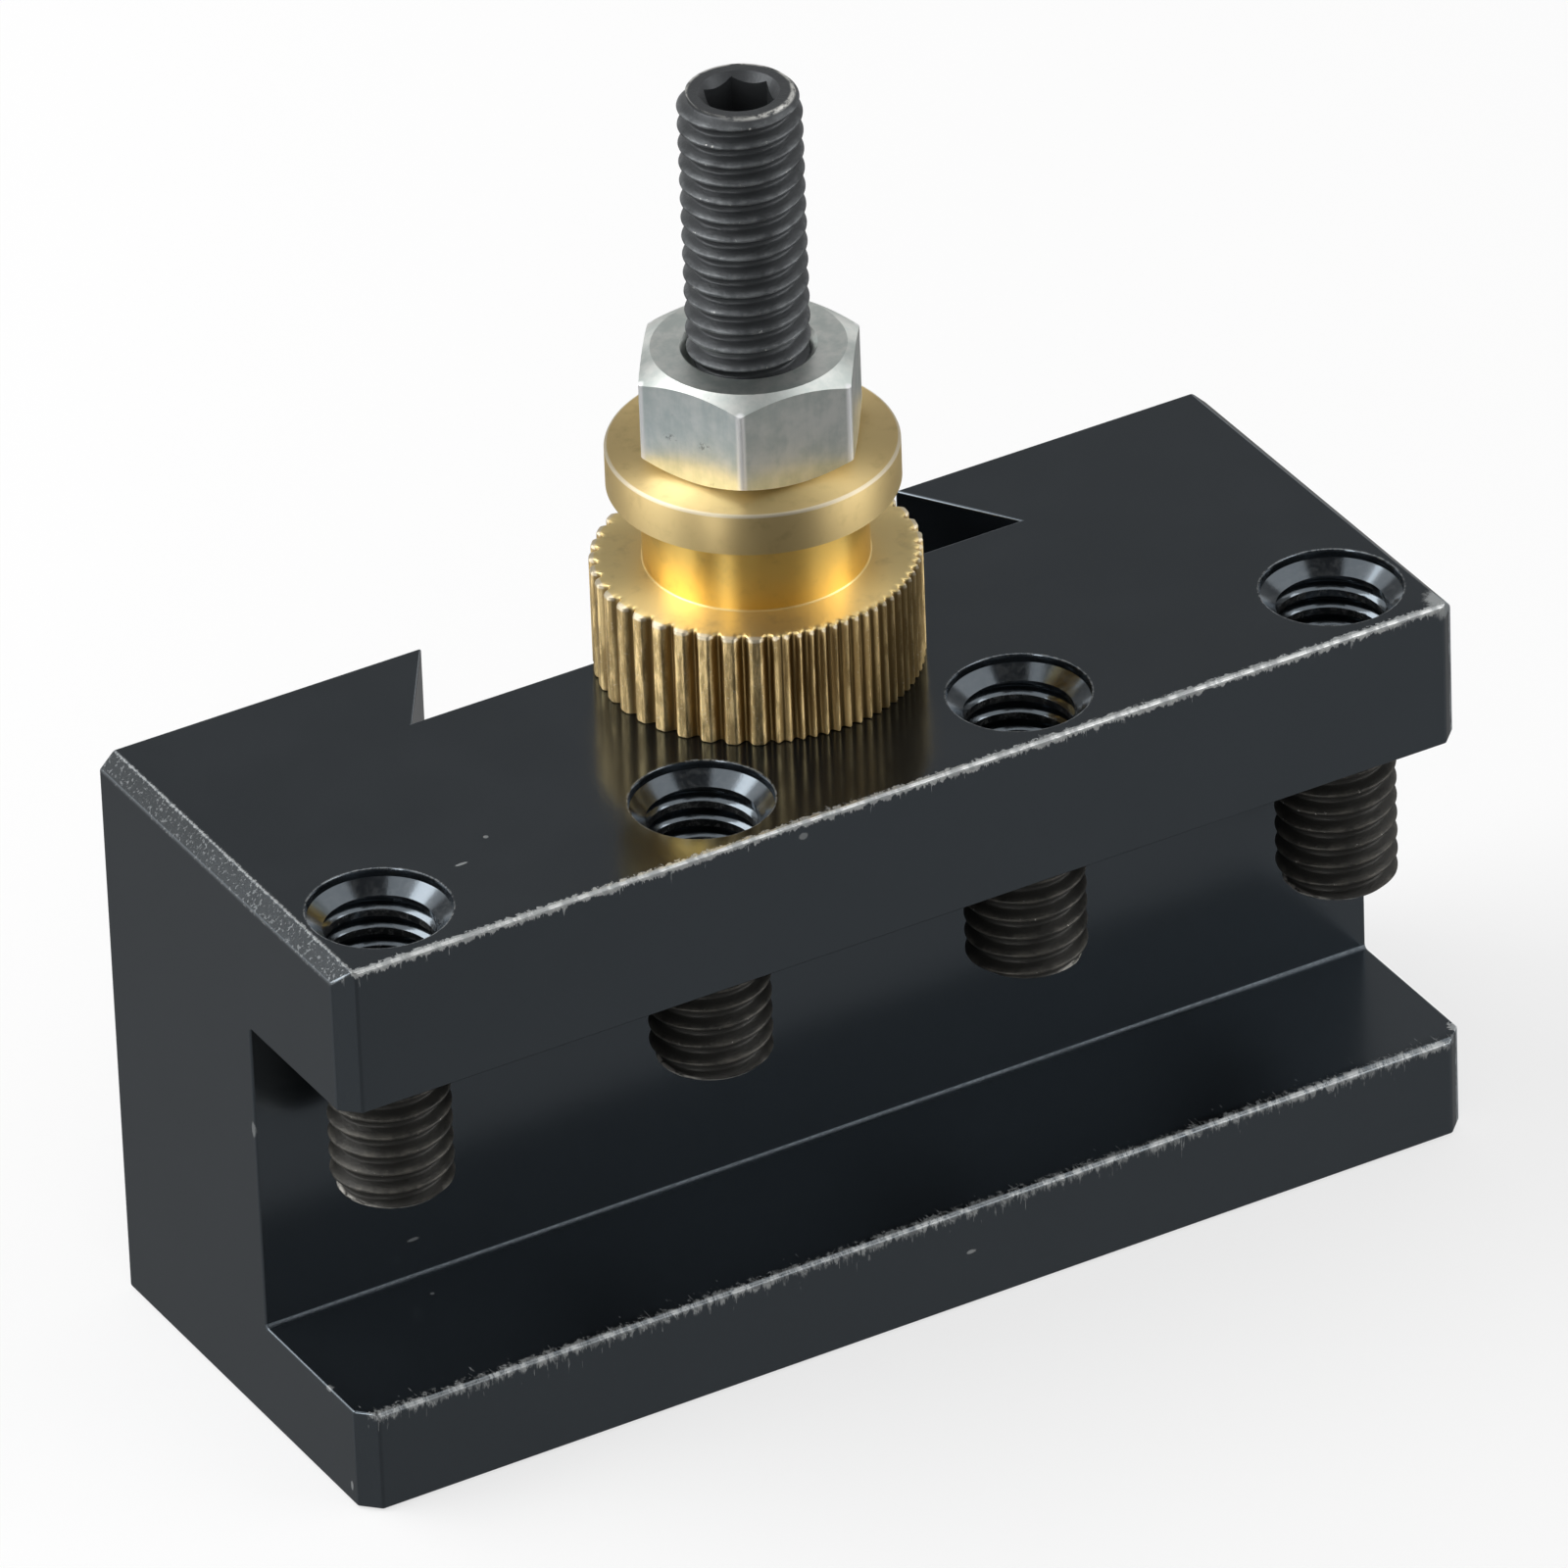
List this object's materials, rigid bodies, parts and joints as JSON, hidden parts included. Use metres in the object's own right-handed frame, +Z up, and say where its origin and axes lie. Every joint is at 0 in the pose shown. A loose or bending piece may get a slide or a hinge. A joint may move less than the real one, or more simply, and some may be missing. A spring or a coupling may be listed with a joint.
{
  "type": "lathe tool holder",
  "caption": "Quick-change lathe tool holder: slotted steel block with a rear dovetail groove, set screws that clamp the tool, and a knurled brass height nut on a locked stud.",
  "frame": {"origin": "middle of the body's underside", "axes": "+X along the body, -Y towards the tool slot, +Y towards the dovetail groove, +Z up along the height stud"},
  "size_m": [0.061, 0.0232, 0.061],
  "materials": {
    "body_black_oxide": "satin black oxide, worn to bare metal along the front edges",
    "stud_black_oxide": "black oxide, rolled thread, slightly oily",
    "screw_black_oxide": "black oxide with a brown cast",
    "brass": "turned, polished neck and straight knurled foot",
    "zinc_plate": "bright zinc plate"
  },
  "bodies": {
    "holder": {"tool_holder_body": "body_black_oxide", "height_stud": "stud_black_oxide"},
    "height_adjuster": {"height_adjusting_nut": "brass"},
    "lock": {"lock_nut": "zinc_plate"},
    "clamp_1": {"clamp_screw_1": "screw_black_oxide"},
    "clamp_2": {"clamp_screw_2": "screw_black_oxide"},
    "clamp_3": {"clamp_screw_3": "screw_black_oxide"},
    "clamp_4": {"clamp_screw_4": "screw_black_oxide"}
  },
  "joints": [
    {"name": "height_adjust", "type": "slide", "parent": "holder", "child": "height_adjuster", "axis": [0, 0, 1], "range_m": [0, 0.008]},
    {"name": "lock_release", "type": "slide", "parent": "height_adjuster", "child": "lock", "axis": [0, 0, 1], "range_m": [0, 0.005]},
    {"name": "clamp_1_travel", "type": "slide", "parent": "holder", "child": "clamp_1", "axis": [0, 0, 1], "range_m": [-0.001, 0.007]},
    {"name": "clamp_2_travel", "type": "slide", "parent": "holder", "child": "clamp_2", "axis": [0, 0, 1], "range_m": [-0.002, 0.006]},
    {"name": "clamp_3_travel", "type": "slide", "parent": "holder", "child": "clamp_3", "axis": [0, 0, 1], "range_m": [-0.001, 0.006]},
    {"name": "clamp_4_travel", "type": "slide", "parent": "holder", "child": "clamp_4", "axis": [0, 0, 1], "range_m": [0, 0.008]}
  ]
}
